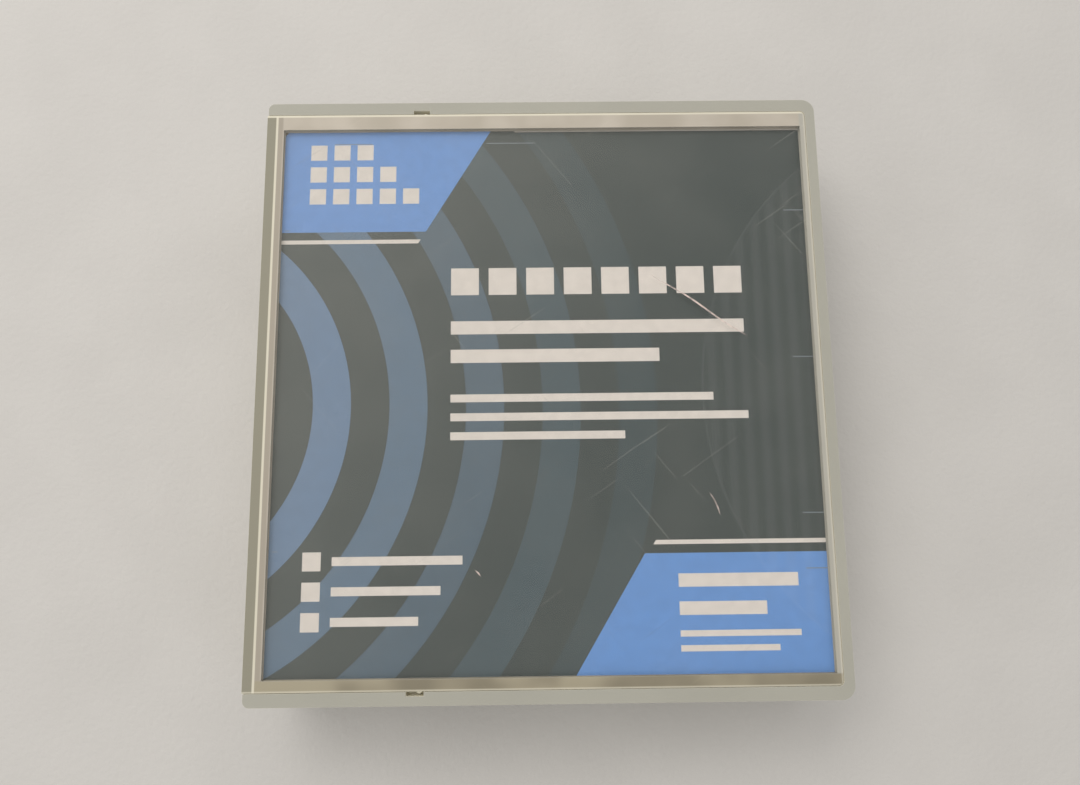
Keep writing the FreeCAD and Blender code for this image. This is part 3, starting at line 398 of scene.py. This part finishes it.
def relight(obj, material, chosen):
    """Gives the chosen faces of a case piece another of its materials."""
    for face in obj.data.polygons:
        if chosen(face.center / MM, face.normal):
            face.material_index = material


def at_latch(p):
    """On or beside a detent."""
    return abs(p.x - LATCH_X) < 3 and abs(p.y) > LID_EDGE_Y - 0.06 and p.z > LATCH_FLOOR


def tray_latch(p, normal):
    return at_latch(p) and abs(p.y) < LID_EDGE_Y + 1


def tray_seam(p, normal):
    """The inner faces of the tray's walls, beside the lid's edge."""
    return abs(normal.z) < 0.3 and abs(p.y) < LID_EDGE_Y + 0.5 and p.x < LID_EDGE_X + 0.5 and p.z > 2


def lid_deep(p, normal):
    """All of the lid below its plate."""
    return p.z < LID_UNDER - 0.05


def lid_latch(p, normal):
    return at_latch(p)


def lid_seam(p, normal):
    """The upright edge of the lid's plate, but for the hinged side."""
    at_edge = abs(p.y) > LID_EDGE_Y - 0.3 or p.x > LID_EDGE_X - 0.3
    return abs(normal.z) < 0.3 and p.z > LID_UNDER and at_edge


tray = eased("case_tray", "tray_shell", 0.2, [finish["frosted_case"], finish["lit_edge"]])
# painted highlight: the tray's detent notches, shaded in their depth, and its seam faces take the brighter
# material
relight(tray, PAINTED_HIGHLIGHT_FACE, tray_latch)
relight(tray, PAINTED_HIGHLIGHT_FACE, tray_seam)
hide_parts("case_tray")
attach(tray, "root")

lid = eased("case_lid", "lid_shell", 0.16, [finish["clear_lid"], finish["lit_edge"], finish["lid_edges"]])
relight(lid, DEEP_FACE, lid_deep)
# painted highlight on the lid's detent nibs and on the upright edge of its plate
relight(lid, PAINTED_HIGHLIGHT_FACE, lid_latch)
relight(lid, PAINTED_HIGHLIGHT_FACE, lid_seam)
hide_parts("case_lid")
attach(lid, "lid")

# ---------------------------------------------------------------- printed card
outline = [
    (FOLD_X, CARD_LO.y), (CARD_HI.x, CARD_LO.y), (CARD_HI.x, CARD_HI.y),
    (FOLD_X + CLIP, CARD_HI.y), (FOLD_X, CARD_HI.y - CLIP),
]


def rect(x, y, w, h):
    """A loop from its lower left corner."""
    return [(x, y), (x + w, y), (x + w, y + h), (x, y + h)]


def arc_band(cx, cy, r, w, steps=72):
    """A ring's right half as one loop."""
    inner, outer = [], []
    for i in range(steps + 1):
        a = math.radians(-90 + 180 * i / steps)
        outer.append((cx + (r + w) * math.cos(a), cy + (r + w) * math.sin(a)))
        inner.append((cx + r * math.cos(a), cy + r * math.sin(a)))
    return outer + inner[::-1]


BLUE = (102, 151, 214)
SLATE = (56, 66, 65)
WHITE = (226, 218, 210)
card_tones = [
    ("slate", SLATE), ("mid_blue", BLUE), ("off_white", WHITE), ("paper_edge", (205, 198, 190)),
    ("band_1", (102, 130, 162)), ("band_2", (90, 115, 138)), ("band_3", (78, 98, 113)),
    ("band_4", (67, 84, 91)), ("band_5", (60, 74, 77)),
    ("crease_sheen", (128, 138, 146)),
]
TONE = {key: i for i, (key, _) in enumerate(card_tones)}

prints = []                                    # (material, loop), later ones over earlier ones
BAND_R, BAND_PITCH, BAND_WIDTH = 34, 14.5, 7.2    # rings round a point off the card
for i in range(5):
    prints.append((f"band_{i + 1}", arc_band(-78, -4, BAND_R + BAND_PITCH * i, BAND_WIDTH)))
SLANT = 14.0                                   # of the two blue fields
prints.append(("mid_blue", [(-53, 54), (-9, 54), (-9 - SLANT, 31), (-53, 31)]))
prints.append(("mid_blue", [(54, -54.5), (4, -54.5), (4 + SLANT, -31.5), (54, -31.5)]))
prints.append(("off_white", [(-53, 28.6), (-24.5, 28.6), (-24.0, 29.4), (-53, 29.4)]))
prints.append(("off_white", [(19.6, -29.9), (54, -29.9), (54, -29.1), (20.1, -29.1)]))
for row in range(3):
    for col in range(3 + row):
        prints.append(("off_white", rect(-46 + 4.6 * col, 46.0 - 4.6 * row, 3.2, 3.2)))
for i in range(8):
    prints.append(("off_white", rect(-18 + 7.3 * i, 18.0, 5.4, 5.4)))
BARS = (                                       # plain blocks, as wide and high as lines of text
    (-18, 10.2, 56.5, 2.6), (-18, 4.6, 40, 2.6), (-18, -3.0, 50, 1.5), (-18, -6.6, 56.5, 1.5),
    (-18, -10.2, 33, 1.5), (24, -37.6, 22, 2.4), (24, -42.6, 16, 2.4), (24, -46.4, 22, 1.1),
    (24, -49.0, 18, 1.1),
)
for bar in BARS:
    prints.append(("off_white", rect(*bar)))
# creases pressed by the lid's card tabs, their pale line a painted highlight
CREASE_SHEENS = (                                    # short pale lines, most of them by the lid's card tabs
    (-41.4, 49.3, 7.6), (-11.1, 49.3, 9.5), (47.6, 34.7, 4.0), (47.6, 5.1, 4.0),
    (47.6, -24.5, 4.0), (47.6, -34.6, 4.0), (-50.6, 31.3, 1.0), (-50.6, -30.5, 1.0),
)
for x, y, w in CREASE_SHEENS:
    prints.append(("crease_sheen", rect(x, y, w, 0.16)))
prints.append(("paper_edge", rect(-5.5, 51.7, 58, 1.0)))
for i in range(3):
    prints.append(("off_white", rect(-45, -34 - 5.4 * i, 3.4, 3.4)))
    prints.append(("off_white", rect(-39.6, -33.1 - 5.4 * i, 24 - 4 * i, 1.6)))


def inside(point, loop):
    """Whether a point lies in a loop, by the crossings to its right."""
    x, y = point
    hit = False
    for (x0, y0), (x1, y1) in zip(loop, loop[1:] + loop[:1]):
        if (y0 > y) != (y1 > y) and x < (x1 - x0) * (y - y0) / (y1 - y0) + x0:
            hit = not hit
    return hit


def card():
    """The card as one sheet, split along the print's edges, folded down over the spine."""
    points, edges = [], []
    for loop in [outline] + [p for _, p in prints]:
        first = len(points)
        points += [Vector(p) for p in loop]
        edges += [(first + i, first + (i + 1) % len(loop)) for i in range(len(loop))]
    verts, _, faces, *_ = geometry.delaunay_2d_cdt(points, edges, [], 0, 1e-4)
    bm = bmesh.new()
    made = [bm.verts.new((v.x * MM, v.y * MM, CARD_HI.z * MM)) for v in verts]
    for f in faces:
        corners = [verts[i] for i in f]
        middle = sum(corners, Vector((0, 0))) / len(corners)
        if not inside(middle, outline):
            continue
        face = bm.faces.new([made[i] for i in f])
        tone = "slate"
        for key, loop in prints:
            if inside(middle, loop):
                tone = key
        face.material_index = TONE[tone]
    bmesh.ops.delete(bm, geom=[v for v in bm.verts if not v.link_faces], context="VERTS")
    bmesh.ops.recalc_face_normals(bm, faces=bm.faces)
    if bm.faces[:][0].normal.z < 0:
        bmesh.ops.reverse_faces(bm, faces=bm.faces)
    top = set(bm.faces)
    grown = bmesh.ops.extrude_face_region(bm, geom=list(bm.faces), use_keep_orig=True)["geom"]
    for v in grown:
        if isinstance(v, bmesh.types.BMVert):
            v.co.z -= CARD * MM
    for face in bm.faces:
        if face not in top:
            face.material_index = TONE["paper_edge"]
    bmesh.ops.recalc_face_normals(bm, faces=bm.faces)
    # fold and flap: one strip along the left edge, from its profile in X and Z
    y0, y1 = CARD_LO.y + FLAP_INSET, CARD_HI.y - FLAP_INSET - CLIP
    z = CARD_HI.z - CARD
    profile = [(FOLD_X, CARD_HI.z)]
    for turn in (22, 45, 68):
        a = math.radians(turn)
        profile.append((FOLD_X - CARD * math.sin(a), z + CARD * math.cos(a)))
    profile += [(CARD_LO.x, z), (CARD_LO.x, CARD_LO.z), (FOLD_X, CARD_LO.z), (FOLD_X, z)]
    outside = 5                                # sides of the profile that show from outside
    loops = [[bm.verts.new((px * MM, y * MM, pz * MM)) for px, pz in profile] for y in (y0, y1)]
    n = len(profile)
    for i in range(n):
        face = bm.faces.new([loops[0][i], loops[0][(i + 1) % n], loops[1][(i + 1) % n], loops[1][i]])
        face.material_index = TONE["slate" if i < outside else "paper_edge"]
    for loop in loops:
        bm.faces.new(loop).material_index = TONE["paper_edge"]
    bmesh.ops.recalc_face_normals(bm, faces=bm.faces)
    obj = new_object("printed_card", bm, [printed("card_" + k, srgb(*c)) for k, c in card_tones])
    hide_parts("inlay_card")
    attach(obj, "lid")


card()


# ---------------------------------------------------------------- springs
def spring(node, name, along, turns, wire, slot):
    """A coil of round wire in a CAD spring's place, in mm."""
    lo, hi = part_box(node)
    across = [i for i in range(3) if i != along]
    middle = (lo + hi) / 2
    r = (hi - lo)[across[0]] / 2 - wire * MM
    start, length = lo[along] + wire * MM, (hi - lo)[along] - 2 * wire * MM
    curve = bpy.data.curves.new(name, "CURVE")
    curve.dimensions = "3D"
    curve.bevel_depth = wire * MM
    curve.bevel_resolution = 1
    curve.use_fill_caps = True
    line = curve.splines.new("POLY")
    steps = 18 * turns
    line.points.add(steps)
    for i, point in enumerate(line.points):
        t, a = i / steps, 2 * math.pi * turns * i / steps
        at = [0.0, 0.0, 0.0, 1.0]
        at[along] = start + length * t
        at[across[0]] = middle[across[0]] + r * math.cos(a)
        at[across[1]] = middle[across[1]] + r * math.sin(a)
        point.co = at
    source = bpy.data.objects.new(name + "_line", curve)
    bpy.context.scene.collection.objects.link(source)
    mesh = bpy.data.meshes.new_from_object(source.evaluated_get(bpy.context.evaluated_depsgraph_get()))
    bpy.data.objects.remove(source)
    mesh.name = name
    mesh.materials.clear()
    mesh.materials.append(finish[slot])
    obj = bpy.data.objects.new(name, mesh)
    bpy.context.scene.collection.objects.link(obj)
    mesh.shade_smooth()
    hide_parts(node)
    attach(obj, "root")
    axis, anchor = Vector((0, 0, 0)), middle.copy()
    axis[along], anchor[along] = 1, hi[along]
    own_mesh(obj)


spring("brake_spring", "brake_coil", 2, 4, 0.4, "spring_steel")
spring("door_spring", "door_coil", 0, 7, 0.16, "spring_steel")

# ---------------------------------------------------------------- wear
def scratch(name, points, width):
    """A tapered scratch on the lid's face, whose whitened ridge stands a little proud."""
    bm = bmesh.new()
    n = len(points)
    rows = []
    for i, (x, y) in enumerate(points):
        x0, y0 = points[max(i - 1, 0)]
        x1, y1 = points[min(i + 1, n - 1)]
        d = Vector((x1 - x0, y1 - y0)).normalized()
        w = width * (0.15 + 0.85 * math.sin(math.pi * i / (n - 1)) ** 0.7) / 2
        side = Vector((-d.y, d.x)) * w
        z = LID_TOP - RIDGE
        rows.append([
            bm.verts.new(((x + side.x) * MM, (y + side.y) * MM, z * MM)),
            bm.verts.new((x * MM, y * MM, (z + 2 * RIDGE) * MM)),
            bm.verts.new(((x - side.x) * MM, (y - side.y) * MM, z * MM)),
        ])
    for a, b in zip(rows, rows[1:]):
        bm.faces.new([a[0], a[1], b[1], b[0]])
        bm.faces.new([a[1], a[2], b[2], b[1]])
    for row in (rows[0], rows[-1]):
        bm.faces.new(row)
    bmesh.ops.recalc_face_normals(bm, faces=bm.faces)
    obj = new_object(name, bm, [finish["scratch"]])
    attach(obj, "lid")


STEPS = 24
start, end = Vector((20.7, 21.3)), Vector((38.8, 9.1))
path = []
for i in range(STEPS + 1):
    t = i / STEPS
    p = start.lerp(end, t) + Vector((0.56, 0.83)) * 0.35 * math.sin(math.pi * t) * math.sin(5 * t)
    path.append((p.x, p.y))
scratch("long_scratch", path, 0.34)
scratch("short_scratch", [(30.2, -20.6), (31.0, -21.9), (31.6, -23.4), (31.9, -24.6)], 0.25)
scratch("nick", [(-13.2, -34.1), (-12.6, -34.6), (-12.2, -35.2)], 0.3)

# ---------------------------------------------------------------- floor, light and camera
bpy.ops.mesh.primitive_plane_add(size=4.0, location=(0, 0, 0))
floor = bpy.context.object
floor.name = "floor"
m = Mat("floor")
floor.data.materials.append(m.set(
    colour=m.mix(m.spread(m.noise(30, 3.0), 0.3, 0.7, 0, 1), srgb(208, 205, 201), srgb(212, 209, 205)),
    rough=0.6, normal=m.bump(m.noise(1.4, 3.0), 0.25, 0.5),
))

scene = bpy.context.scene
world = bpy.data.worlds.new("studio")
scene.world = world
world.use_nodes = True
tree = world.node_tree
tree.nodes.clear()
background = tree.nodes.new("ShaderNodeBackground")
out = tree.nodes.new("ShaderNodeOutputWorld")
tree.links.new(background.outputs[0], out.inputs[0])
coords = tree.nodes.new("ShaderNodeTexCoord")
dot = tree.nodes.new("ShaderNodeVectorMath")
dot.operation = "DOT_PRODUCT"
tree.links.new(coords.outputs["Generated"], dot.inputs[0])
dot.inputs[1].default_value = Vector((-0.45, 0.45, 0.77)).normalized()    # towards the brightest sky
glow = tree.nodes.new("ShaderNodeMapRange")
glow.interpolation_type = "SMOOTHSTEP"
tree.links.new(dot.outputs["Value"], glow.inputs[0])
for i, v in enumerate((-0.2, 1.0, 0.42, 0.9)):    # away from it and towards it, and the strengths there
    glow.inputs[i + 1].default_value = v
tree.links.new(glow.outputs[0], background.inputs[1])
background.inputs[0].default_value = (1.0, 0.985, 0.96, 1)

lamp = bpy.data.lights.new("key", "AREA")
lamp.shape = "RECTANGLE"
lamp.size, lamp.size_y = 0.4, 0.3
lamp.energy = 1.05
lamp.color = (1.0, 0.97, 0.93)
key = bpy.data.objects.new("key", lamp)
key.location = (-0.20, 0.28, 0.50)
key.rotation_euler = (Vector((0, 0, 0)) - key.location).to_track_quat("-Z", "Y").to_euler()
key.visible_glossy = False
scene.collection.objects.link(key)

# fitted to the corners of the case and the card in the photo: metres and degrees
data = bpy.data.cameras.new("camera")
data.lens = 26.667
data.sensor_width = 36.0
data.clip_start, data.clip_end = 0.005, 20
camera = bpy.data.objects.new("camera", data)
camera.location = (-0.00217, -0.0258, 0.17425)
camera.rotation_euler = [math.radians(a) for a in (9.284, -0.340, -0.696)]
scene.collection.objects.link(camera)
scene.camera = camera
scene.view_settings.view_transform = "Standard"
